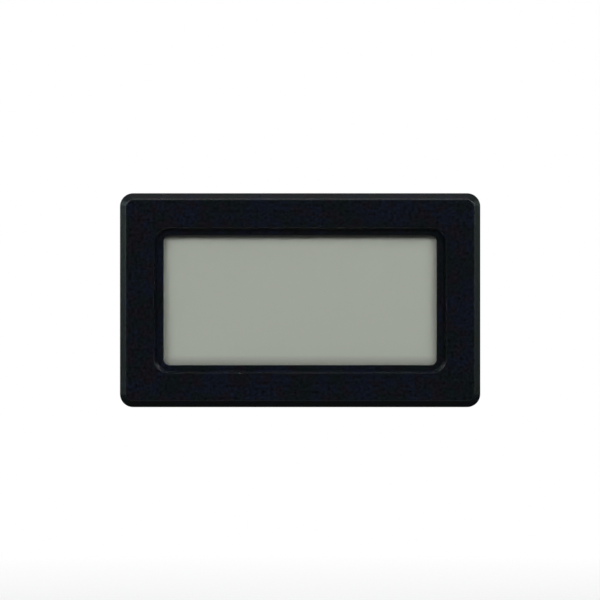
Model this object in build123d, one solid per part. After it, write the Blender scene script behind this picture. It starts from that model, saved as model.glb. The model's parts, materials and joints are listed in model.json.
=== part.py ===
from build123d import *
import os
from math import atan, degrees

# Panel-mounted digital thermometer with a blank display. Sizes are in millimetres.
# The origin is the centre of the bezel's rear seating plane, where the panel touches.
# The display looks along -Y, +X is to the right of someone reading it, and +Z is up.
# Depths are Y values: "front" is nearer the reader, "back" is nearer the rear cover.

# Window and bezel
window_width = 36.3
window_height = 17.26
window_corner = 0.8
window_edge_chamfer = 0.1
recess_side_margin = 1.3
recess_top_margin = 1.05
recess_depth = 0.8
recess_wall_lean = 0.4
recess_corner = 2.1
recess_edge_radius = 0.14
lip_thickness = 0.4
bezel_depth = 2.8
bezel_corner = 1.75
bezel_straight_side = 0.5
bezel_slope_inset = 0.85
bezel_edge_radius = 0.28
bezel_rear_chamfer = 0.1
flange_overhang = 1.1

# Body walls
wall = 1.1
body_corner = 1.2
pocket_wall = 0.7
centring_rib_height = 0.15
centring_rib_width = 0.8
centring_rib_spacing = 28.0

# Display, from front to back
tape_thickness = 0.08
tape_setback = 0.15
lens_thickness = 0.3
lens_border = 0.65
lens_gap = 0.05
polariser_thickness = 0.2
polariser_inset = 0.3
glass_thickness = 0.55
glass_side_border = 0.65
glass_top_border = 0.47
reflector_thickness = 0.2
holder_gap = 0.05
holder_thickness = 1.6
holder_bar = 2.6
holder_side_bar = 3.4
holder_skirt_gap = 0.05
zebra_gap = 0.6
zebra_width = 1.4
zebra_end_gap = 1.0
ledge_edge = 0.15
pocket_corner = 0.6
glass_pocket_corner = 0.2

# Circuit board and what sits on it
board_thickness = 1.0
board_edge_gap = 0.2
blob_radius = 3.6
blob_height = 0.85
blob_from_centre = 4.4
chip_length = 1.6
chip_width = 0.8
chip_height = 0.45
chip_cap_length = 0.3
chip_cap_rise = 0.03
chip_pitch = 2.1
chip_row_margin = 0.9
resistor_count = 5
capacitor_count = 3
lead_pad_hole = 0.9
lead_pad_pitch = 2.0
pin_board_gap = 0.1

# Screws through the rear cover, the board and the case bosses
screw_diameter = 1.4
screw_head_diameter = 2.5
screw_head_height = 0.9
screw_head_chamfer = 0.25
screw_recess = 0.2
screw_end_gap = 0.3
screw_slot_width = 0.35
screw_slot_depth = 0.4
boss_diameter = 2.8
boss_to_wall = 0.1
boss_from_top = 0.75
boss_hole_depth = 1.2
screw_hole_gap = 0.05

# Button cells and their bay
cell_diameter = 11.6
cell_height = 5.4
cell_spacing = 0.6
cell_cap_diameter = 9.4
cell_cap_height = 0.3
cell_edge_chamfer = 0.4
cell_bottom_gap = 0.15
bay_side_gap = 0.6
bay_top_gap = 0.5
bay_wall = 0.8
bay_floor = 0.8
bay_to_board = 1.32
bay_corner = 4.0
cusp_from_centre = 3.2

# Battery contacts, bent from thin sheet
contact_metal = 0.25
contact_lift = 0.4
contact_width = 3.0
contact_bend = 0.35
blade_height = 4.2
blade_width = 3.6
blade_cell_gap = 0.06
pin_width = 1.2

# Rear cover and battery door
cover_plate = 1.8
cover_edge_chamfer = 0.4
parting_chamfer = 0.12
cover_rim_depth = 0.8
cover_rim_wall = 0.8
fit_gap = 0.1
cell_to_door = 0.15
door_thickness = 1.1
door_overlap = 0.5
door_tongue = 0.8
door_tongue_thickness = 0.5
door_running_gap = 0.12
grip_groove_width = 0.7
grip_groove_depth = 0.35
grip_groove_length = 9.0
grip_groove_pitch = 1.2
grip_groove_count = 5
lead_hole_diameter = 3.2
lead_hole_chamfer = 0.35
lead_collar_diameter = 5.6
lead_collar_height = 0.9
lead_from_side = 6.8
lead_from_top = 5.2

# Snap arms on the short sides
arm_width = 8.0
arm_slot = 0.6
arm_tip_y = 2.2
arm_root_from_cover = 1.4
arm_catch_height = 0.8
arm_tooth_pitch = 0.6
arm_tooth_step = 0.25
arm_tip_thickness = 0.55
arm_overlap = 0.3

# Depths, worked out layer by layer from the bezel's face
face_y = -bezel_depth
ledge_y = face_y + recess_depth
lip_back = ledge_y + lip_thickness
lens_front = lip_back + tape_thickness
lens_back = lens_front + lens_thickness
polariser_front = lens_back + lens_gap
glass_front = polariser_front + polariser_thickness
glass_middle = glass_front + glass_thickness
glass_back = glass_middle + glass_thickness
reflector_back = glass_back + reflector_thickness
holder_front = reflector_back + holder_gap
board_front = holder_front + holder_thickness
board_back = board_front + board_thickness
bay_front = board_back + bay_to_board
bay_floor_back = bay_front + bay_floor
cell_front = bay_floor_back + contact_metal + contact_lift
cell_back = cell_front + cell_height
door_front = cell_back + cell_to_door
rear_y = door_front + door_thickness
cover_seat = rear_y - cover_plate

# Half widths and half heights, worked out from the window outwards
glass_x = window_width / 2 + glass_side_border
pocket_x = glass_x + fit_gap
screw_x = pocket_x + boss_diameter / 2
inner_x = pocket_x + boss_diameter + boss_to_wall
body_x = inner_x + wall
bezel_x = body_x + flange_overhang
rear_glass_z = window_height / 2 + glass_top_border
zebra_inner_z = rear_glass_z + zebra_gap
front_glass_z = zebra_inner_z + zebra_width + ledge_edge
pocket_z = front_glass_z + fit_gap
inner_z = pocket_z + pocket_wall
body_z = inner_z + wall
bezel_z = body_z + flange_overhang
screw_z = inner_z - boss_from_top - boss_diameter / 2
recess_x = window_width / 2 + recess_side_margin
recess_z = window_height / 2 + recess_top_margin
lens_x = window_width / 2 + lens_border
lens_z = window_height / 2 + lens_border
holder_x = pocket_x - 2 * fit_gap
holder_z = inner_z - 3 * fit_gap
zebra_half = glass_x - zebra_end_gap
board_x = inner_x - board_edge_gap
board_z = inner_z - board_edge_gap

# Places in the lower half of the rear, where the two cells lie side by side
cell_radius = cell_diameter / 2
cell_x = cell_radius + cell_spacing / 2
rim_z = inner_z - fit_gap
bay_bottom = -(rim_z - bay_wall)
cell_z = bay_bottom + cell_bottom_gap + cell_radius
bay_top = cell_z + cell_radius + bay_top_gap
bay_x = cell_x + cell_radius + bay_side_gap
bay_mid_z = (bay_bottom + bay_top) / 2
door_x = bay_x + door_overlap
door_top = bay_top + door_overlap
lead_x = inner_x - lead_from_side
lead_z = inner_z - lead_from_top
free_mid_z = (bay_top + bay_wall + inner_z) / 2
contact_y = bay_floor_back + contact_metal / 2
tail_x = cell_x + cell_radius + blade_cell_gap + contact_metal / 2
screw_places = [(x, z) for x in (-screw_x, screw_x) for z in (-screw_z, screw_z)]


def slab(outline, front, back):
    """An outline drawn as seen by the reader, made solid between two depths."""
    return extrude(Plane.XZ.offset(-front) * outline, -(back - front))


def rounded(half_width, half_height, corner):
    """A rounded rectangle centred on the display."""
    return RectangleRounded(2 * half_width, 2 * half_height, corner)


def block(x0, x1, front, back, z0, z1):
    """A plain block between two corners."""
    centre = ((x0 + x1) / 2, (front + back) / 2, (z0 + z1) / 2)
    return Pos(*centre) * Box(abs(x1 - x0), abs(back - front), abs(z1 - z0))


def rod(x, z, diameter, front, back):
    """A round bar along the depth."""
    return slab(Pos(x, z) * Circle(diameter / 2), front, back)


def edges_at(shape, depth, half_width, half_height):
    """The edges that lie at one depth, inside a rectangle round the centre."""
    near = 0.01
    return [
        e for e in shape.edges().filter_by_position(Axis.Y, depth - near, depth + near)
        if abs(e.center().X) < half_width + near and abs(e.center().Z) < half_height + near
    ]


def bent_strip(points, plane, width):
    """Sheet metal bent along a line of points, as wide as given across the plane."""
    path = FilletPolyline(*points, radius=contact_bend)
    return extrude(plane * trace(path, line_width=contact_metal), width / 2, both=True)


def bezel_blank():
    """The bezel before its window is cut: a short straight side, then a slope to the face."""
    straight = slab(rounded(bezel_x, bezel_z, bezel_corner), -bezel_straight_side, 0)
    straight = chamfer(edges_at(straight, 0, bezel_x, bezel_z), bezel_rear_chamfer)
    rise = bezel_depth - bezel_straight_side
    lean = degrees(atan(bezel_slope_inset / rise))
    base = Plane.XZ.offset(bezel_straight_side) * rounded(bezel_x, bezel_z, bezel_corner)
    slope = extrude(base, rise, taper=lean)
    slope = fillet(edges_at(slope, face_y, bezel_x, bezel_z), bezel_edge_radius)
    return straight + slope


def window_recess():
    """What is cut from the face: a shallow tray whose steep wall leans out to its rim."""
    foot = rounded(
        recess_x - recess_wall_lean, recess_z - recess_wall_lean, recess_corner - recess_wall_lean
    )
    lean = degrees(atan(recess_wall_lean / recess_depth))
    return extrude(Plane.XZ.offset(-ledge_y) * foot, recess_depth, taper=-lean)


def snap_arm():
    """The right-hand arm: rooted at the rear, with stepped teeth that hold the panel."""
    root_y = cover_seat - arm_root_from_cover
    tip_outer = body_x + arm_catch_height - 2 * arm_tooth_step
    points = [(tip_outer - arm_tip_thickness, arm_tip_y), (tip_outer, arm_tip_y)]
    for tooth in range(1, 3):
        step_y = arm_tip_y + tooth * arm_tooth_pitch
        points.append((tip_outer + (tooth - 1) * arm_tooth_step, step_y))
        points.append((tip_outer + tooth * arm_tooth_step, step_y))
    points.append((body_x + arm_catch_height, arm_tip_y + 3 * arm_tooth_pitch))
    points.append((body_x, root_y - arm_slot))
    points.append((body_x, root_y + arm_overlap))
    points.append((inner_x, root_y + arm_overlap))
    points.append((inner_x, root_y - arm_slot))
    profile = make_face(Polyline(*points, close=True))
    return extrude(profile, arm_width / 2, both=True)


def centring_rib(x, side):
    """A low rib on the top or bottom wall that takes up play in the panel's opening."""
    outer = side * (body_z + centring_rib_height)
    half = centring_rib_width / 2
    root_y = cover_seat - arm_root_from_cover
    return block(x - half, x + half, arm_tip_y + arm_tooth_pitch, root_y, side * inner_z, outer)


def front_case():
    """One moulding: bezel, window tray, display pocket, body walls, bosses and snap arms."""
    case = bezel_blank()
    case += slab(rounded(body_x, body_z, body_corner), 0, cover_seat)
    case -= window_recess()
    case = fillet(edges_at(case, face_y, recess_x, recess_z), recess_edge_radius)
    case -= slab(rounded(window_width / 2, window_height / 2, window_corner), face_y, lip_back)
    opening = edges_at(case, ledge_y, window_width / 2, window_height / 2)
    case = chamfer(opening, window_edge_chamfer)
    case -= slab(rounded(pocket_x, lens_z + fit_gap, pocket_corner), lip_back, glass_front)
    case -= slab(rounded(pocket_x, pocket_z, glass_pocket_corner), glass_front, glass_middle)
    case -= slab(rounded(inner_x, inner_z, body_corner / 2), glass_middle, cover_seat)
    hole = screw_diameter + 2 * screw_hole_gap
    for x, z in screw_places:
        case += rod(x, z, boss_diameter, glass_middle, board_front)
        case -= rod(x, z, hole, glass_middle - boss_hole_depth, board_front)
    slot_z = arm_width / 2 + arm_slot
    root_y = cover_seat - arm_root_from_cover
    arm = snap_arm()
    for side in (-1, 1):
        outer = side * (body_x + arm_catch_height)
        case -= block(side * inner_x, outer, arm_tip_y - arm_slot, root_y, -slot_z, slot_z)
    case += arm + mirror(arm, Plane.YZ)
    for x in (-centring_rib_spacing / 2, centring_rib_spacing / 2):
        case += centring_rib(x, 1) + centring_rib(x, -1)
    return case


def window_lens():
    """Clear plate that closes the window from behind."""
    return slab(rounded(lens_x, lens_z, pocket_corner - fit_gap), lens_front, lens_back)


def lens_tape():
    """Adhesive frame between the bezel's lip and the window plate."""
    outer = rounded(lens_x, lens_z, pocket_corner - fit_gap)
    inner = rounded(
        window_width / 2 + tape_setback, window_height / 2 + tape_setback, window_corner
    )
    return slab(outer - inner, lip_back, lens_front)


def front_polariser():
    """Film on the front glass, which carries the grey-green tone of the display."""
    outline = Rectangle(2 * (glass_x - polariser_inset), 2 * (lens_z - polariser_inset))
    return slab(outline, polariser_front, glass_front)


def front_glass():
    """The taller glass, whose back has the contact ledges above and below."""
    return slab(Rectangle(2 * glass_x, 2 * front_glass_z), glass_front, glass_middle)


def rear_glass():
    return slab(Rectangle(2 * glass_x, 2 * rear_glass_z), glass_middle, glass_back)


def reflector():
    """Rear polariser with its reflecting layer."""
    outline = Rectangle(
        2 * (glass_x - polariser_inset), 2 * (rear_glass_z - polariser_inset)
    )
    return slab(outline, glass_back, reflector_back)


def zebra_strip(side):
    """Soft striped bar that carries the signals from the board to the glass."""
    z0 = side * zebra_inner_z
    z1 = side * (zebra_inner_z + zebra_width)
    return block(-zebra_half, zebra_half, glass_middle, board_front, z0, z1)


def lcd_holder():
    """Moulded frame that backs the glass, with a slot for each strip and an open middle."""
    holder = slab(Rectangle(2 * holder_x, 2 * holder_z), holder_front, board_front)
    skirt_front = glass_middle + holder_skirt_gap
    skirt_inner = front_glass_z - ledge_edge + fit_gap
    middle_z = zebra_inner_z - fit_gap - holder_bar
    for side in (-1, 1):
        holder += block(
            -holder_x, holder_x, skirt_front, board_front, side * skirt_inner, side * holder_z
        )
        holder -= block(
            -zebra_half - fit_gap, zebra_half + fit_gap, glass_middle, board_front,
            side * (zebra_inner_z - fit_gap), side * (zebra_inner_z + zebra_width + fit_gap),
        )
    return holder - slab(
        rounded(holder_x - holder_side_bar, middle_z, pocket_corner), holder_front, board_front
    )


def circuit_board():
    board = slab(rounded(board_x, board_z, body_corner / 2), board_front, board_back)
    hole = screw_diameter + 2 * screw_hole_gap
    for x, z in screw_places:
        board -= rod(x, z, hole, board_front, board_back)
    for side in (-1, 1):
        board -= rod(
            lead_x + side * lead_pad_pitch / 2, lead_z, lead_pad_hole, board_front, board_back
        )
        board -= pin_slot(side * tail_x, cell_z, board_front, board_back)
    return board


def pin_slot(x, z, front, back):
    """The slot that a contact's pin passes through."""
    half_x = contact_metal / 2 + pin_board_gap
    half_z = pin_width / 2 + pin_board_gap
    return block(x - half_x, x + half_x, front, back, z - half_z, z + half_z)


def chip_blob():
    """Domed drop of hard resin over the bonded chip."""
    sphere_radius = (blob_radius**2 + blob_height**2) / (2 * blob_height)
    top = board_back + blob_height
    ball = Pos(-blob_from_centre, top - sphere_radius, free_mid_z) * Sphere(sphere_radius)
    reach = 2 * blob_radius
    return ball & block(
        -blob_from_centre - reach, -blob_from_centre + reach, board_back, top,
        free_mid_z - reach, free_mid_z + reach,
    )


def chip(x, z):
    """A surface-mount chip with its two metal ends."""
    body = block(
        x - chip_width / 2, x + chip_width / 2, board_back, board_back + chip_height,
        z - chip_length / 2, z + chip_length / 2,
    )
    for side in (-1, 1):
        outer = z + side * chip_length / 2
        body += block(
            x - chip_width / 2 - chip_cap_rise, x + chip_width / 2 + chip_cap_rise,
            board_back, board_back + chip_height + chip_cap_rise,
            outer, outer - side * chip_cap_length,
        )
    return body


def chip_row(count, z):
    """A row of like chips beside the resin drop."""
    first = blob_radius - blob_from_centre + chip_pitch
    return Compound(children=[chip(first + i * chip_pitch, z) for i in range(count)])


def contact_minus():
    """Leaf under the left cell, sprung off the bay floor, with a pin to the board."""
    leaf_points = [
        (-tail_x, contact_y),
        (-cell_x - contact_width / 2, contact_y),
        (-cell_x, cell_front - contact_metal / 2),
        (-cell_x + contact_width / 2, contact_y + contact_metal),
    ]
    leaf = bent_strip(leaf_points, Plane.XY.offset(cell_z), contact_width)
    pin = block(
        -tail_x - contact_metal / 2, -tail_x + contact_metal / 2,
        board_front + pin_board_gap, contact_y, cell_z - pin_width / 2, cell_z + pin_width / 2,
    )
    return leaf + pin


def contact_bridge():
    """Joins the left cell's rim to a leaf under the right cell, along the bay's top edge."""
    rim_line = cell_z + cell_radius + blade_cell_gap
    strip = block(
        -cell_x - blade_width / 2, cell_x + contact_width / 2,
        bay_floor_back, bay_floor_back + contact_metal, rim_line - contact_width / 2,
        rim_line + contact_metal,
    )
    blade = block(
        -cell_x - blade_width / 2, -cell_x + blade_width / 2,
        bay_floor_back, bay_floor_back + blade_height, rim_line, rim_line + contact_metal,
    )
    leaf_points = [
        (contact_y, rim_line),
        (contact_y, cell_z + contact_width / 2),
        (cell_front - contact_metal / 2, cell_z),
        (contact_y + contact_metal, cell_z - contact_width / 2),
    ]
    leaf = bent_strip(leaf_points, Plane.YZ.offset(cell_x), contact_width)
    return strip + blade + leaf


def contact_plus():
    """Blade against the right cell's rim, with a pin to the board."""
    blade = block(
        tail_x - contact_metal / 2, tail_x + contact_metal / 2,
        bay_floor_back, bay_floor_back + blade_height,
        cell_z - contact_width / 2, cell_z + contact_width / 2,
    )
    pin = block(
        tail_x - contact_metal / 2, tail_x + contact_metal / 2,
        board_front + pin_board_gap, bay_floor_back,
        cell_z - pin_width / 2, cell_z + pin_width / 2,
    )
    return blade + pin


def button_cell(x):
    """A round cell: the can faces the door, the smaller cap faces the leaf."""
    cap = cell_cap_diameter / 2
    shoulder = cell_front + cell_cap_height
    profile = make_face(
        Polyline(
            (0, cell_front), (cap, cell_front), (cap, shoulder), (cell_radius, shoulder),
            (cell_radius, cell_back), (0, cell_back), close=True,
        )
    )
    rim = [v for v in profile.vertices() if v.X > cell_radius - cell_edge_chamfer]
    profile = chamfer(rim, cell_edge_chamfer)
    return Pos(x, 0, cell_z) * revolve(profile, Axis.Y)


def cover_blank():
    """The rear plate before its openings, bevelled behind and at its parting line."""
    plate = slab(rounded(body_x, body_z, body_corner), cover_seat, rear_y)
    plate = chamfer(edges_at(plate, cover_seat, body_x, body_z), parting_chamfer)
    return chamfer(edges_at(plate, rear_y, body_x, body_z), cover_edge_chamfer)


def bay_pocket():
    """The hollow for the two cells, with the cusp that points in between them."""
    hollow = slab(
        Pos(0, bay_mid_z) * RectangleRounded(2 * bay_x, bay_top - bay_bottom, bay_corner),
        bay_floor_back, door_front,
    )
    cusp = block(
        -cell_x, cell_x, bay_floor_back, cover_seat, bay_bottom, cell_z - cusp_from_centre
    )
    for x in (-cell_x, cell_x):
        cusp -= rod(x, cell_z, cell_diameter + 4 * fit_gap, bay_floor_back, cover_seat)
    return hollow - cusp


def rear_cover():
    """One moulding: plate, rim, screw posts, cell bay, door runners and the lead's inlet."""
    cover = cover_blank()
    rim_x = inner_x - fit_gap
    rim = rounded(rim_x, rim_z, body_corner / 2)
    rim -= rounded(rim_x - cover_rim_wall, rim_z - cover_rim_wall, body_corner / 4)
    cover += slab(rim, cover_seat - cover_rim_depth, cover_seat)
    cover += block(
        -bay_x - bay_wall, bay_x + bay_wall, bay_front, cover_seat, -rim_z, bay_top + bay_wall
    )
    cover += rod(
        lead_x, lead_z, lead_collar_diameter, cover_seat - lead_collar_height, cover_seat
    )
    for x, z in screw_places:
        cover += rod(x, z, boss_diameter, board_back, cover_seat)
    cover -= bay_pocket()
    for side in (-1, 1):
        cover -= pin_slot(side * tail_x, cell_z, bay_front, bay_floor_back)
    cover = cut_door_way(cover)
    hole = screw_diameter + 2 * screw_hole_gap
    head_front = rear_y - screw_recess - screw_head_height
    for x, z in screw_places:
        cover -= rod(x, z, hole, board_back, rear_y)
        cover -= rod(x, z, screw_head_diameter + 2 * fit_gap, head_front, rear_y)
    collar_front = cover_seat - lead_collar_height
    cover -= rod(lead_x, lead_z, lead_hole_diameter, collar_front, rear_y)
    mouth = [
        e for e in cover.edges().filter_by(GeomType.CIRCLE)
        if abs(e.center().Y - rear_y) < 0.01 and abs(e.radius - lead_hole_diameter / 2) < 0.01
    ]
    return chamfer(mouth, lead_hole_chamfer)


def cut_door_way(cover):
    """Cuts the way that the door slides in, and the runners under its side lips."""
    gap = door_running_gap
    floor_y = door_front - gap
    tongue_back = door_front + door_tongue_thickness + gap
    low = -body_z - gap
    cover -= block(-door_x - gap, door_x + gap, floor_y, rear_y, low, door_top + gap)
    reach = door_x + door_tongue + gap
    cover -= block(-reach, reach, floor_y, tongue_back, low, door_top + gap)
    top = door_top + door_tongue + gap
    return cover - block(-door_x - gap, door_x + gap, floor_y, tongue_back, door_top, top)


def battery_door():
    """Slides down off the bay: a plate flush with the cover, with tongues in its runners."""
    door = cover_blank() & block(-door_x, door_x, door_front, rear_y, -body_z, door_top)
    tongue_back = door_front + door_tongue_thickness
    reach = door_x + door_tongue
    low = -body_z + cover_edge_chamfer
    door += block(-reach, reach, door_front, tongue_back, low, door_top)
    door += block(-door_x, door_x, door_front, tongue_back, bay_mid_z, door_top + door_tongue)
    for i in range(grip_groove_count):
        z = bay_mid_z + (i - (grip_groove_count - 1) / 2) * grip_groove_pitch
        outline = Pos(0, z) * SlotOverall(grip_groove_length, grip_groove_width)
        door -= slab(outline, rear_y - grip_groove_depth, rear_y)
    return door


def case_screw(x, z):
    """A pan-head screw with a cross recess."""
    head_back = rear_y - screw_recess
    head_front = head_back - screw_head_height
    tip = glass_middle - boss_hole_depth + screw_end_gap
    screw = rod(x, z, screw_head_diameter, head_front, head_back)
    crown = edges_at(screw, head_back, bezel_x, bezel_z)
    screw = chamfer(crown, screw_head_chamfer)
    screw += rod(x, z, screw_diameter, tip, head_front)
    half = screw_head_diameter / 3
    slot = screw_slot_width / 2
    slot_floor = head_back - screw_slot_depth
    screw -= block(x - half, x + half, slot_floor, head_back, z - slot, z + slot)
    return screw - block(x - slot, x + slot, slot_floor, head_back, z - half, z + half)


row_above = board_z - chip_row_margin - chip_length / 2
row_below = bay_top + bay_wall + chip_row_margin + chip_length / 2
nodes = {
    "front_case": front_case(),
    "window_lens": window_lens(),
    "lens_tape": lens_tape(),
    "lcd_front_polariser": front_polariser(),
    "lcd_front_glass": front_glass(),
    "lcd_rear_glass": rear_glass(),
    "lcd_reflector": reflector(),
    "zebra_strip_top": zebra_strip(1),
    "zebra_strip_bottom": zebra_strip(-1),
    "lcd_holder": lcd_holder(),
    "circuit_board": circuit_board(),
    "chip_blob": chip_blob(),
    "chip_resistors": chip_row(resistor_count, row_above),
    "chip_capacitors": chip_row(capacitor_count, row_below),
    "battery_contact_minus": contact_minus(),
    "battery_contact_bridge": contact_bridge(),
    "battery_contact_plus": contact_plus(),
    "button_cell_left": button_cell(-cell_x),
    "button_cell_right": button_cell(cell_x),
    "rear_cover": rear_cover(),
    "case_screws": Compound(children=[case_screw(x, z) for x, z in screw_places]),
    "battery_door": battery_door(),
}

os.makedirs("parts", exist_ok=True)
for name, shape in nodes.items():
    export_step(shape, "parts/" + name + ".step")

print("overall size", 2 * bezel_x, rear_y - face_y, 2 * bezel_z)
print("lead inlet at", lead_x, cover_seat - lead_collar_height, lead_z)
print("door opens the bay after", door_top - bay_bottom)
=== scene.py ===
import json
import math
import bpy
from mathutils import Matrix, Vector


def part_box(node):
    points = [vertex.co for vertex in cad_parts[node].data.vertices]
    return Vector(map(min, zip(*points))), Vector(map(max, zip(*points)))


bl_info = {
    "name": "Panel Thermometer Finishes",
    "version": (1, 0, 0),
    "blender": (4, 5, 0),
    "location": "3D View > Sidebar > Thermometer",
    "description": "Finishes and photographs a small panel-mounted digital thermometer",
    "category": "Object",
}

import bpy
from mathutils import Vector

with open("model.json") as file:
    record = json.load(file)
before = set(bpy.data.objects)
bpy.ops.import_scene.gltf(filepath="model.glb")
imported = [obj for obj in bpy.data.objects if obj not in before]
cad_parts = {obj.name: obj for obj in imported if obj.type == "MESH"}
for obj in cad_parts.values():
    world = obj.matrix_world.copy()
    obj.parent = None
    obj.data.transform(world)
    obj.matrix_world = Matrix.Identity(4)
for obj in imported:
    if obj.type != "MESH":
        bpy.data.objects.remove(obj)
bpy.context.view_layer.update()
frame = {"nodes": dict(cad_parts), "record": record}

MM = 0.001

# The photograph's frame: how wide the bezel is in it and where its middle lies, in pixels
PHOTO_SIDE = 600
BEZEL_PIXELS = 360.0
PHOTO_CENTRE = (300.14, 300.18)

LAMP_DISTANCE = 0.7

# Light of the dim room round the object, low and high in the sky, where 1 is white
ROOM_LOW = 0.02
ROOM_HIGH = 0.1

# How nearly straight back a reflected ray runs where it starts to meet the white backdrop, and
# where it meets it fully: 1 is straight back
BACKDROP_EDGE = 0.93
BACKDROP_FULL = 0.985

# The floor in metres: its half width, the distances between which it turns white to the eye,
# and how white it is nearest to the object
FLOOR_HALF = 3.0
FLOOR_NEAR = 0.08
FLOOR_FAR = 0.22
FLOOR_WHITE = 0.65

# The pale strip of floor before the object that lights it from below, in metres: how far it
# lies in front, its half depth, and where it has faded out
CARD_IN_FRONT = 0.035
CARD_HALF = 0.015
CARD_FADED = 0.045

# Places taken from the model, with the sizes that it doesn't give
bezel_low, bezel_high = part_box("front_case")
lens_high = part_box("window_lens")[1]
inlet = next(m for m in frame["record"]["mounts"] if m["name"] == "sensor_lead_inlet")["pos_m"]
LENS_BORDER = 0.65 * MM
PAD_SPACING = 2.0 * MM
PAD_RADIUS = 0.85 * MM
CHIP_END = 0.3 * MM
window_half = (lens_high.x - LENS_BORDER, lens_high.z - LENS_BORDER)


def linear(hex_colour):
    """An sRGB hex colour, such as "#16191f", as linear red, green, blue and a full alpha."""
    levels = [int(hex_colour[i : i + 2], 16) / 255 for i in (1, 3, 5)]
    return (*(v / 12.92 if v <= 0.04045 else ((v + 0.055) / 1.055) ** 2.4 for v in levels), 1.0)


def colour_property(name, hex_colour, description):
    """A colour that a user may change, with its default given as it looks on screen."""
    return bpy.props.FloatVectorProperty(
        name=name, description=description, default=linear(hex_colour), size=4,
        subtype="COLOR", min=0.0, max=1.0,
    )


def length_property(name, metres, description):
    """A length that a user may change."""
    return bpy.props.FloatProperty(
        name=name, description=description, default=metres, min=0.0, unit="LENGTH", precision=5
    )


class FinishSettings(bpy.types.PropertyGroup):
    """Colours and pattern sizes of the thermometer's materials."""

    case_blue: colour_property(
        "Case, cool", "#080f1e", "Blue-black that most of the bezel's face leans to"
    )
    case_teal: colour_property("Case, green", "#050f12", "Green-black of the other patches")
    case_plum: colour_property("Case, warm", "#0f0b14", "Warmer black of the smallest patches")
    cover_black: colour_property("Cover", "#101115", "Black of the rear cover and the door")
    display_tone: colour_property(
        "Display", "#9da19b", "Grey-green of the blank display behind its anti-glare film"
    )
    mask_green: colour_property("Solder mask", "#1d5a34", "Lacquer over the board's laminate")
    case_grain: length_property(
        "Case grain", 0.4 * MM, "Spacing of the spark-eroded grain on the case and the door"
    )
    cover_grain: length_property(
        "Cover grain", 0.55 * MM, "Spacing of the coarser grain on the rear cover"
    )
    case_patch: length_property(
        "Case patch", 3.4 * MM, "Spacing of the faint patches in the bezel's black"
    )
    film_tooth: length_property(
        "Film tooth", 0.25 * MM, "Spacing of the anti-glare film's tooth"
    )
    track_pitch: length_property("Track pitch", 0.9 * MM, "Spacing of the board's copper tracks")
    zebra_pitch: length_property(
        "Strip pitch", 0.36 * MM, "Spacing of the conducting stripes in the rubber strips"
    )


class StageSettings(bpy.types.PropertyGroup):
    """Camera and floor."""

    lens_mm: bpy.props.FloatProperty(
        name="Lens", description="Long lens that shows the front nearly without perspective",
        default=300.0, min=1.0, unit="CAMERA",
    )
    sensor_mm: bpy.props.FloatProperty(
        name="Sensor", description="Width of the camera's sensor", default=36.0, min=1.0,
        unit="CAMERA",
    )
    floor_drop: length_property(
        "Floor drop", 45 * MM, "How far the floor lies under the thermometer's middle"
    )


def add(tree, kind, inputs=None, output=0, **settings):
    """Adds a node, fills its sockets with values or links, and returns one of its outputs.

    Sockets go by name, or by place where a node has several of one name.
    """
    made = tree.nodes.new(kind)
    for field, value in settings.items():
        setattr(made, field, value)
    for socket, value in (inputs or {}).items():
        if isinstance(value, bpy.types.NodeSocket):
            tree.links.new(value, made.inputs[socket])
        else:
            made.inputs[socket].default_value = value
    return made.outputs[output] if len(made.outputs) else made


def blank_material(name):
    """An empty node material, with the place on the model, in metres, that its pattern uses."""
    material = bpy.data.materials.new(name)
    material.use_nodes = True
    tree = material.node_tree
    tree.nodes.clear()
    return material, tree, add(tree, "ShaderNodeTexCoord", output="Object")


def dress(material, *names):
    """Gives a material to whole nodes of the model."""
    for name in names:
        piece = frame["nodes"][name]
        piece.data.materials.clear()
        piece.data.materials.append(material)


def spark_eroded_abs(name, tones, grain, patch, contrast, depth, roughness):
    """Black ABS moulded in a spark-eroded tool.

    The eroded grain breaks the lamps' glare into a fine, soft speckle, and where the three
    tones differ, their faint patches keep the black from looking flat. The real grain is under
    a tenth of a millimetre, too fine for the photograph, so it is drawn as coarse as it shows.
    """
    blue, teal, plum = tones
    material, tree, place = blank_material(name)
    speck = add(tree, "ShaderNodeTexNoise",
                {"Vector": place, "Scale": 1 / grain, "Detail": 3.0, "Roughness": 0.65})
    wide = add(tree, "ShaderNodeTexNoise",
               {"Vector": place, "Scale": 1 / patch, "Detail": 2.0, "Roughness": 0.6})
    small = add(tree, "ShaderNodeTexNoise",
                {"Vector": place, "W": 4.0, "Scale": 2 / patch, "Detail": 2.0, "Roughness": 0.6},
                noise_dimensions="4D")
    cool = add(tree, "ShaderNodeMapRange", {"Value": wide, "From Min": 0.44, "From Max": 0.58})
    warm = add(tree, "ShaderNodeMapRange", {"Value": small, "From Min": 0.5, "From Max": 0.64})
    cold_mix = add(tree, "ShaderNodeMix", {0: cool, 6: teal, 7: blue}, 2, data_type="RGBA")
    full_mix = add(tree, "ShaderNodeMix", {0: warm, 6: cold_mix, 7: plum}, 2, data_type="RGBA")
    lift = add(tree, "ShaderNodeMapRange",
               {"Value": speck, "From Min": 0.32, "From Max": 0.68,
                "To Min": 1 - contrast, "To Max": 1 + contrast})
    speckled = add(tree, "ShaderNodeHueSaturation", {"Value": lift, "Color": full_mix})
    gloss = add(tree, "ShaderNodeMapRange",
                {"Value": speck, "From Min": 0.3, "From Max": 0.7,
                 "To Min": roughness - 0.05, "To Max": roughness + 0.05})
    bump = add(tree, "ShaderNodeBump", {"Height": speck, "Distance": depth, "Strength": 1.0})
    shader = add(tree, "ShaderNodeBsdfPrincipled",
                 {"Base Color": speckled, "Roughness": gloss, "IOR": 1.53,
                  "Specular IOR Level": 0.28, "Normal": bump})
    add(tree, "ShaderNodeOutputMaterial", {"Surface": shader})
    return material


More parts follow.
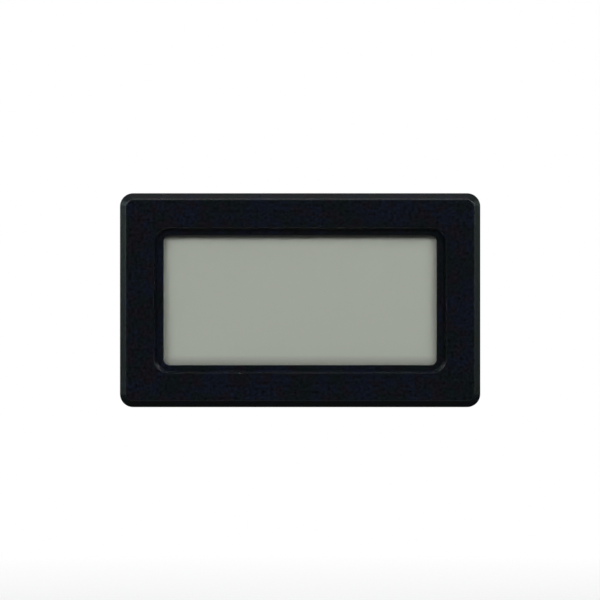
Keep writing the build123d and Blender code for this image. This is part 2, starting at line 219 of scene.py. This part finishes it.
def anti_glare_film(name, tone, tooth):
    """Matt acetate polariser over a blank liquid-crystal display.

    Its fine tooth scatters the lamps, so that the display looks flat and dry. Painted shade
    darkens it a little close to the window's edges, and most along the lower one.
    """
    material, tree, place = blank_material(name)
    grain = add(tree, "ShaderNodeTexNoise", {"Vector": place, "Scale": 1 / tooth, "Detail": 1.0})
    unsigned = add(tree, "ShaderNodeVectorMath", {0: place}, operation="ABSOLUTE")
    inside = add(tree, "ShaderNodeVectorMath",
                 {0: (window_half[0], 1.0, window_half[1]), 1: unsigned}, operation="SUBTRACT")
    axes = add(tree, "ShaderNodeSeparateXYZ", {"Vector": inside}, "X")
    edge = add(tree, "ShaderNodeMath", {0: axes, 1: axes.node.outputs["Z"]}, operation="MINIMUM")
    # Painted shade: the tone falls to 0.9 at the window's edges, over 1.2 mm
    painted_edge_shade = add(tree, "ShaderNodeMapRange",
                 {"Value": edge, "From Min": 0.0, "From Max": 1.2 * MM, "To Min": 0.9})
    height = add(tree, "ShaderNodeSeparateXYZ", {"Vector": place}, "Z")
    # Painted shade: darker still along the lower edge, to 0.6, over 1.3 mm
    low = add(tree, "ShaderNodeMapRange",
              {"Value": height, "From Min": -window_half[1],
               "From Max": -window_half[1] + 1.3 * MM, "To Min": 0.6})
    shade = add(tree, "ShaderNodeMath", {0: painted_edge_shade, 1: low}, operation="MULTIPLY")
    uneven = add(tree, "ShaderNodeMapRange",
                 {"Value": grain, "From Min": 0.3, "From Max": 0.7,
                  "To Min": 0.985, "To Max": 1.01})
    level = add(tree, "ShaderNodeMath", {0: shade, 1: uneven}, operation="MULTIPLY")
    toned = add(tree, "ShaderNodeHueSaturation", {"Value": level, "Color": tone})
    bump = add(tree, "ShaderNodeBump", {"Height": grain, "Distance": 0.002 * MM, "Strength": 0.4})
    shader = add(tree, "ShaderNodeBsdfPrincipled",
                 {"Base Color": toned, "Roughness": 0.55, "IOR": 1.49, "Normal": bump})
    add(tree, "ShaderNodeOutputMaterial", {"Surface": shader})
    return material


def cast_acrylic(name):
    """Clear cast acrylic: it shows only by its sharp reflection at a slant."""
    material, tree, place = blank_material(name)
    haze = add(tree, "ShaderNodeTexNoise", {"Vector": place, "Scale": 1 / (6 * MM), "Detail": 2.0})
    gloss = add(tree, "ShaderNodeMapRange", {"Value": haze, "To Min": 0.02, "To Max": 0.06})
    shader = add(tree, "ShaderNodeBsdfPrincipled",
                 {"Base Color": linear("#fdfdfb"), "Roughness": gloss, "IOR": 1.49,
                  "Transmission Weight": 1.0})
    clear = add(tree, "ShaderNodeBsdfTransparent", {"Color": linear("#fafbf8")})
    shadow = add(tree, "ShaderNodeLightPath", output="Is Shadow Ray")
    mix = add(tree, "ShaderNodeMixShader", {0: shadow, 1: shader, 2: clear})
    add(tree, "ShaderNodeOutputMaterial", {"Surface": mix})
    return material


def mottled(name, light, dark, spacing, roughness, depth=0.0, metallic=0.0, ior=1.5):
    """A surface whose tone and gloss wander a little, as those of cast or rubbed ones do."""
    material, tree, place = blank_material(name)
    lumps = add(tree, "ShaderNodeTexNoise",
                {"Vector": place, "Scale": 1 / spacing, "Detail": 3.0, "Roughness": 0.6})
    share = add(tree, "ShaderNodeMapRange", {"Value": lumps, "From Min": 0.35, "From Max": 0.65})
    tone = add(tree, "ShaderNodeMix", {0: share, 6: linear(dark), 7: linear(light)}, 2,
               data_type="RGBA")
    gloss = add(tree, "ShaderNodeMapRange",
                {"Value": lumps, "From Min": 0.3, "From Max": 0.7,
                 "To Min": 0.8 * roughness, "To Max": 1.2 * roughness})
    bump = add(tree, "ShaderNodeBump", {"Height": lumps, "Distance": depth, "Strength": 0.6})
    shader = add(tree, "ShaderNodeBsdfPrincipled",
                 {"Base Color": tone, "Roughness": gloss, "IOR": ior, "Metallic": metallic,
                  "Normal": bump})
    add(tree, "ShaderNodeOutputMaterial", {"Surface": shader})
    return material


def solder_mask(name, green, pitch):
    """Glossy green lacquer over a glass laminate.

    The copper tracks under it read as paler lines, and the two lead pads are bare tin.
    """
    material, tree, place = blank_material(name)
    flat = add(tree, "ShaderNodeMapping", {"Vector": place, "Rotation": (math.pi / 2, 0, 0)})
    tracks = add(tree, "ShaderNodeTexBrick",
                 {"Vector": flat, "Color1": (0, 0, 0, 1), "Color2": (0, 0, 0, 1),
                  "Mortar": (1, 1, 1, 1), "Scale": 1.0, "Mortar Size": 0.12 * pitch,
                  "Mortar Smooth": 0.1, "Brick Width": 5.5 * pitch, "Row Height": pitch},
                 "Color")
    raised = add(tree, "ShaderNodeMix", {0: tracks, 6: green, 7: linear("#3f8a55")}, 2,
                 data_type="RGBA")
    pads = 0.0
    for side in (-1, 1):
        centre = (inlet[0] + side * PAD_SPACING / 2, 0.0, inlet[2])
        from_hole = add(tree, "ShaderNodeVectorMath", {0: place, 1: centre}, operation="SUBTRACT")
        level = add(tree, "ShaderNodeVectorMath", {0: from_hole, 1: (1, 0, 1)},
                    operation="MULTIPLY")
        reach = add(tree, "ShaderNodeVectorMath", {0: level}, "Value", operation="LENGTH")
        pad = add(tree, "ShaderNodeMath", {0: reach, 1: PAD_RADIUS}, operation="LESS_THAN")
        pads = add(tree, "ShaderNodeMath", {0: pads, 1: pad}, operation="MAXIMUM")
    tone = add(tree, "ShaderNodeMix", {0: pads, 6: raised, 7: linear("#c9c8c4")}, 2,
               data_type="RGBA")
    bump = add(tree, "ShaderNodeBump", {"Height": tracks, "Distance": 0.03 * MM, "Strength": 0.7})
    shader = add(tree, "ShaderNodeBsdfPrincipled",
                 {"Base Color": tone, "Roughness": 0.28, "IOR": 1.55, "Metallic": pads,
                  "Normal": bump})
    add(tree, "ShaderNodeOutputMaterial", {"Surface": shader})
    return material


def tinned_chip(name, body, box):
    """Ceramic chip with its two tinned ends, which shine beside its dull body."""
    material, tree, place = blank_material(name)
    middle = (box[0].z + box[1].z) / 2
    half_body = (box[1].z - box[0].z) / 2 - CHIP_END
    height = add(tree, "ShaderNodeSeparateXYZ", {"Vector": place}, "Z")
    offset = add(tree, "ShaderNodeMath", {0: height, 1: middle}, operation="SUBTRACT")
    away = add(tree, "ShaderNodeMath", {0: offset}, operation="ABSOLUTE")
    end = add(tree, "ShaderNodeMath", {0: away, 1: half_body}, operation="GREATER_THAN")
    lumps = add(tree, "ShaderNodeTexNoise", {"Vector": place, "Scale": 1 / (0.2 * MM)})
    tone = add(tree, "ShaderNodeMix", {0: end, 6: linear(body), 7: linear("#cfcdc8")}, 2,
               data_type="RGBA")
    gloss = add(tree, "ShaderNodeMapRange", {"Value": lumps, "To Min": 0.25, "To Max": 0.5})
    shader = add(tree, "ShaderNodeBsdfPrincipled",
                 {"Base Color": tone, "Roughness": gloss, "Metallic": end})
    add(tree, "ShaderNodeOutputMaterial", {"Surface": shader})
    return material


def striped_silicone(name, pitch):
    """Silicone strip with carbon layers: thin black stripes across a milky rubber."""
    material, tree, place = blank_material(name)
    # One band of the wave texture is as long as 2 pi / 20 at a scale of 1
    bands = add(tree, "ShaderNodeTexWave", {"Vector": place, "Scale": 2 * math.pi / (20 * pitch)})
    tone = add(tree, "ShaderNodeMix", {0: bands, 6: linear("#242322"), 7: linear("#cdc6bb")}, 2,
               data_type="RGBA")
    shader = add(tree, "ShaderNodeBsdfPrincipled",
                 {"Base Color": tone, "Roughness": 0.6, "IOR": 1.41})
    add(tree, "ShaderNodeOutputMaterial", {"Surface": shader})
    return material


def turned_nickel(name, centre):
    """Nickel-plated steel can, rubbed in rings: a soft fan of light turns about its middle."""
    material, tree, place = blank_material(name)
    from_middle = add(tree, "ShaderNodeVectorMath", {0: place, 1: centre}, operation="SUBTRACT")
    level = add(tree, "ShaderNodeVectorMath", {0: from_middle, 1: (1, 0, 1)},
                operation="MULTIPLY")
    radius = add(tree, "ShaderNodeVectorMath", {0: level}, "Value", operation="LENGTH")
    along = add(tree, "ShaderNodeCombineXYZ", {"X": radius})
    rings = add(tree, "ShaderNodeTexNoise",
                {"Vector": along, "Scale": 1 / (0.12 * MM), "Detail": 2.0, "Roughness": 0.7})
    stains = add(tree, "ShaderNodeTexNoise",
                 {"Vector": place, "Scale": 1 / (2.5 * MM), "Detail": 3.0})
    tone = add(tree, "ShaderNodeMix", {0: stains, 6: linear("#b3b0aa"), 7: linear("#d4d1ca")}, 2,
               data_type="RGBA")
    gloss = add(tree, "ShaderNodeMapRange",
                {"Value": rings, "From Min": 0.3, "From Max": 0.7, "To Min": 0.22, "To Max": 0.4})
    bump = add(tree, "ShaderNodeBump", {"Height": rings, "Distance": 0.004 * MM, "Strength": 0.6})
    shader = add(tree, "ShaderNodeBsdfPrincipled",
                 {"Base Color": tone, "Roughness": gloss, "Metallic": 1.0, "Normal": bump})
    add(tree, "ShaderNodeOutputMaterial", {"Surface": shader})
    return material


class THERMOMETER_OT_case(bpy.types.Operator):
    """Finish the moulded case, rear cover and battery door"""

    bl_idname = "thermometer.finish_case"
    bl_label = "Case, cover and door"

    def execute(self, context):
        s = context.scene.thermometer_finish
        case_tones = (tuple(s.case_blue), tuple(s.case_teal), tuple(s.case_plum))
        cover_tones = (tuple(s.cover_black),) * 3
        dress(
            spark_eroded_abs("ABS spark-eroded blue-black", case_tones, s.case_grain,
                             s.case_patch, 1.0, 0.012 * MM, 0.32),
            "front_case",
        )
        dress(
            spark_eroded_abs("ABS spark-eroded cover black", cover_tones, s.cover_grain,
                             s.case_patch, 0.25, 0.008 * MM, 0.36),
            "rear_cover",
        )
        dress(
            spark_eroded_abs("ABS moulded door black", cover_tones, s.case_grain,
                             s.case_patch, 0.2, 0.005 * MM, 0.33),
            "battery_door",
        )
        return {"FINISHED"}


class THERMOMETER_OT_display(bpy.types.Operator):
    """Finish the window and the layers of the display"""

    bl_idname = "thermometer.finish_display"
    bl_label = "Window and display"

    def execute(self, context):
        s = context.scene.thermometer_finish
        dress(cast_acrylic("Acrylic sheet clear"), "window_lens")
        dress(anti_glare_film("Anti-glare polariser film", tuple(s.display_tone), s.film_tooth),
              "lcd_front_polariser")
        dress(mottled("Acrylic foam tape black", "#232323", "#151515", 0.3 * MM, 0.75, 0.01 * MM),
              "lens_tape")
        dress(mottled("Soda-lime glass", "#a9b8ae", "#9fb0a5", 3 * MM, 0.1, ior=1.52),
              "lcd_front_glass", "lcd_rear_glass")
        dress(mottled("Metallised reflector film", "#c9cdc4", "#b4b9b0", 0.5 * MM, 0.4,
                      0.002 * MM, 1.0), "lcd_reflector")
        return {"FINISHED"}


class THERMOMETER_OT_circuit(bpy.types.Operator):
    """Finish the board, its chips, the strips and the holder"""

    bl_idname = "thermometer.finish_circuit"
    bl_label = "Circuit board"

    def execute(self, context):
        s = context.scene.thermometer_finish
        dress(solder_mask("Solder mask over glass laminate", tuple(s.mask_green), s.track_pitch),
              "circuit_board")
        dress(mottled("Epoxy resin black", "#101011", "#08080a", 1.5 * MM, 0.18, 0.01 * MM),
              "chip_blob")
        dress(tinned_chip("Ceramic resistor tinned", "#161616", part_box("chip_resistors")),
              "chip_resistors")
        dress(tinned_chip("Ceramic capacitor tinned", "#a3835f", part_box("chip_capacitors")),
              "chip_capacitors")
        dress(striped_silicone("Silicone rubber striped", s.zebra_pitch),
              "zebra_strip_top", "zebra_strip_bottom")
        dress(mottled("ABS moulded white", "#dddcd6", "#d2d1ca", 0.6 * MM, 0.45, 0.006 * MM),
              "lcd_holder")
        return {"FINISHED"}


class THERMOMETER_OT_battery(bpy.types.Operator):
    """Finish the cells, their contacts and the screws"""

    bl_idname = "thermometer.finish_battery"
    bl_label = "Cells, contacts and screws"

    def execute(self, context):
        for name in ("button_cell_left", "button_cell_right"):
            low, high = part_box(name)
            dress(turned_nickel("Nickel-plated can " + name[12:], (low + high) / 2), name)
        dress(mottled("Nickel-plated spring steel", "#d2ccc0", "#bdb6a9", 0.8 * MM, 0.26,
                      0.004 * MM, 1.0),
              "battery_contact_minus", "battery_contact_bridge", "battery_contact_plus")
        dress(mottled("Zinc-plated steel", "#b9bbbd", "#95989b", 0.35 * MM, 0.36, 0.006 * MM, 1.0),
              "case_screws")
        return {"FINISHED"}


def softbox(name, around, off_axis, watts, width=0.45, height=0.3, tint="#ffffff"):
    """A soft lamp, placed by its angle clockwise from the top and its angle off the front."""
    turn, tilt = math.radians(around), math.radians(off_axis)
    towards = Vector((math.sin(tilt) * math.sin(turn), -math.cos(tilt),
                      math.sin(tilt) * math.cos(turn)))
    data = bpy.data.lights.new(name, "AREA")
    data.shape = "RECTANGLE"
    data.size = width
    data.size_y = height
    data.energy = watts
    data.color = linear(tint)[:3]
    made = bpy.data.objects.new(name, data)
    made.location = LAMP_DISTANCE * towards
    made.rotation_euler = towards.to_track_quat("Z", "Y").to_euler()
    bpy.context.scene.collection.objects.link(made)


def mirrored_backdrop(tree, towards):
    """How far a reflected ray meets the white backdrop, which stands behind the thermometer."""
    turned = add(tree, "ShaderNodeVectorMath", {0: towards}, operation="NORMALIZE")
    depth = add(tree, "ShaderNodeSeparateXYZ", {"Vector": turned}, "Y")
    cone = add(tree, "ShaderNodeMapRange",
               {"Value": depth, "From Min": BACKDROP_EDGE, "From Max": BACKDROP_FULL})
    glossy = add(tree, "ShaderNodeLightPath", output="Is Glossy Ray")
    through = glossy.node.outputs["Is Transmission Ray"]
    either = add(tree, "ShaderNodeMath", {0: glossy, 1: through}, operation="MAXIMUM")
    return add(tree, "ShaderNodeMath", {0: either, 1: cone}, operation="MULTIPLY")


def studio_world():
    """White where the camera looks, and a white backdrop in a dim room on the object itself."""
    world = bpy.data.worlds.new("Studio")
    world.use_nodes = True
    tree = world.node_tree
    tree.nodes.clear()
    direction = add(tree, "ShaderNodeTexCoord", output="Generated")
    height = add(tree, "ShaderNodeSeparateXYZ", {"Vector": direction}, "Z")
    room = add(tree, "ShaderNodeMapRange",
               {"Value": height, "From Min": -0.6, "From Max": 0.8,
                "To Min": ROOM_LOW, "To Max": ROOM_HIGH})
    seen = add(tree, "ShaderNodeLightPath", output="Is Camera Ray")
    white = add(tree, "ShaderNodeMath", {0: seen, 1: mirrored_backdrop(tree, direction)},
                operation="MAXIMUM")
    level = add(tree, "ShaderNodeMix", {0: white, 2: room, 3: 1.0})
    shell = add(tree, "ShaderNodeBackground", {"Color": (1, 1, 1, 1), "Strength": level})
    add(tree, "ShaderNodeOutputWorld", {"Surface": shell})
    bpy.context.scene.world = world


def studio_floor(drop):
    """Seamless pale paper under the thermometer, which keeps its shadow and turns white far off.

    The object itself sees it darker, so that the bezel's lower slope stays as dark as in the
    photograph, but for a pale strip in front.
    """
    material, tree, place = blank_material("Seamless paper pale")
    seen = add(tree, "ShaderNodeLightPath", output="Is Camera Ray")
    away = add(tree, "ShaderNodeVectorMath", {0: place}, "Value", operation="LENGTH")
    white = add(tree, "ShaderNodeMapRange",
                {"Value": away, "From Min": FLOOR_NEAR, "From Max": FLOOR_FAR,
                 "To Min": FLOOR_WHITE, "To Max": 1.0})
    direct = add(tree, "ShaderNodeMath", {0: seen, 1: white}, operation="MULTIPLY")
    share = add(tree, "ShaderNodeMath", {0: direct, 1: mirrored_backdrop(tree, place)},
                operation="MAXIMUM")
    depth = add(tree, "ShaderNodeSeparateXYZ", {"Vector": place}, "Y")
    from_card = add(tree, "ShaderNodeMath", {0: depth, 1: CARD_IN_FRONT}, operation="ADD")
    off_card = add(tree, "ShaderNodeMath", {0: from_card}, operation="ABSOLUTE")
    card = add(tree, "ShaderNodeMapRange",
               {"Value": off_card, "From Min": CARD_HALF, "From Max": CARD_FADED,
                "To Min": 1.0, "To Max": 0.0})
    bounce = add(tree, "ShaderNodeMix", {0: card, 6: linear("#303030"), 7: linear("#aaaaaa")}, 2,
                 data_type="RGBA")
    paper = add(tree, "ShaderNodeMix", {0: seen, 6: bounce, 7: linear("#f4f4f3")}, 2,
                data_type="RGBA")
    matt = add(tree, "ShaderNodeBsdfDiffuse", {"Color": paper})
    glow = add(tree, "ShaderNodeEmission", {"Color": (1, 1, 1, 1), "Strength": 1.0})
    mix = add(tree, "ShaderNodeMixShader", {0: share, 1: matt, 2: glow})
    add(tree, "ShaderNodeOutputMaterial", {"Surface": mix})
    mesh = bpy.data.meshes.new("Floor")
    corners = [(x * FLOOR_HALF, y * FLOOR_HALF, -drop)
               for x, y in ((-1, -1), (1, -1), (1, 1), (-1, 1))]
    mesh.from_pydata(corners, [], [(0, 1, 2, 3)])
    mesh.materials.append(material)
    floor = bpy.data.objects.new("Floor", mesh)
    bpy.context.scene.collection.objects.link(floor)


def studio_camera(lens, sensor):
    """Camera square to the display, as far off as makes the bezel as wide as photographed."""
    data = bpy.data.cameras.new("Camera")
    data.lens = lens
    data.sensor_width = sensor
    data.clip_start = 0.01
    data.clip_end = 20.0
    frame_width = (bezel_high.x - bezel_low.x) * PHOTO_SIDE / BEZEL_PIXELS
    pixel = frame_width / PHOTO_SIDE
    middle = (bezel_low + bezel_high) / 2
    right = (PHOTO_CENTRE[0] - PHOTO_SIDE / 2) * pixel
    down = (PHOTO_CENTRE[1] - PHOTO_SIDE / 2) * pixel
    camera = bpy.data.objects.new("Camera", data)
    camera.location = (middle.x - right, -frame_width * lens / sensor, middle.z + down)
    camera.rotation_euler = (math.radians(90), 0, 0)
    bpy.context.scene.collection.objects.link(camera)
    bpy.context.scene.camera = camera


class THERMOMETER_OT_stage(bpy.types.Operator):
    """Set the floor, the lamps, the sky and the camera"""

    bl_idname = "thermometer.set_stage"
    bl_label = "Stage"

    def execute(self, context):
        s = context.scene.thermometer_stage
        studio_world()
        studio_floor(s.floor_drop)
        softbox("Key softbox", 47, 51, 2.4)
        softbox("Fill softbox", -49, 51, 2.25)
        softbox("Rear left softbox", -74, 110, 1.5, tint="#d2f2e4")
        softbox("Rear right softbox", 74, 110, 1.1, tint="#d2f2dc")
        softbox("Top softbox", 0, 103, 1.1, 0.4, 0.2)
        softbox("Back softbox", 0, 171, 0.5, 0.3, 0.18)
        studio_camera(s.lens_mm, s.sensor_mm)
        context.scene.view_settings.view_transform = "Standard"
        return {"FINISHED"}


OPERATORS = (
    THERMOMETER_OT_case, THERMOMETER_OT_display, THERMOMETER_OT_circuit,
    THERMOMETER_OT_battery, THERMOMETER_OT_stage,
)


class THERMOMETER_PT_panel(bpy.types.Panel):
    """Lists the thermometer's finishes and its stage"""

    bl_idname = "THERMOMETER_PT_panel"
    bl_label = "Thermometer"
    bl_space_type = "VIEW_3D"
    bl_region_type = "UI"
    bl_category = "Thermometer"

    def draw(self, context):
        for operator in OPERATORS:
            self.layout.operator(operator.bl_idname)


CLASSES = (FinishSettings, StageSettings, *OPERATORS, THERMOMETER_PT_panel)


def register():
    for cls in CLASSES:
        bpy.utils.register_class(cls)
    bpy.types.Scene.thermometer_finish = bpy.props.PointerProperty(type=FinishSettings)
    bpy.types.Scene.thermometer_stage = bpy.props.PointerProperty(type=StageSettings)


def unregister():
    del bpy.types.Scene.thermometer_stage
    del bpy.types.Scene.thermometer_finish
    for cls in reversed(CLASSES):
        bpy.utils.unregister_class(cls)


def main():
    register()
    bpy.ops.thermometer.finish_case()
    bpy.ops.thermometer.finish_display()
    bpy.ops.thermometer.finish_circuit()
    bpy.ops.thermometer.finish_battery()
    bpy.ops.thermometer.set_stage()


if __name__ == "__main__":
    main()
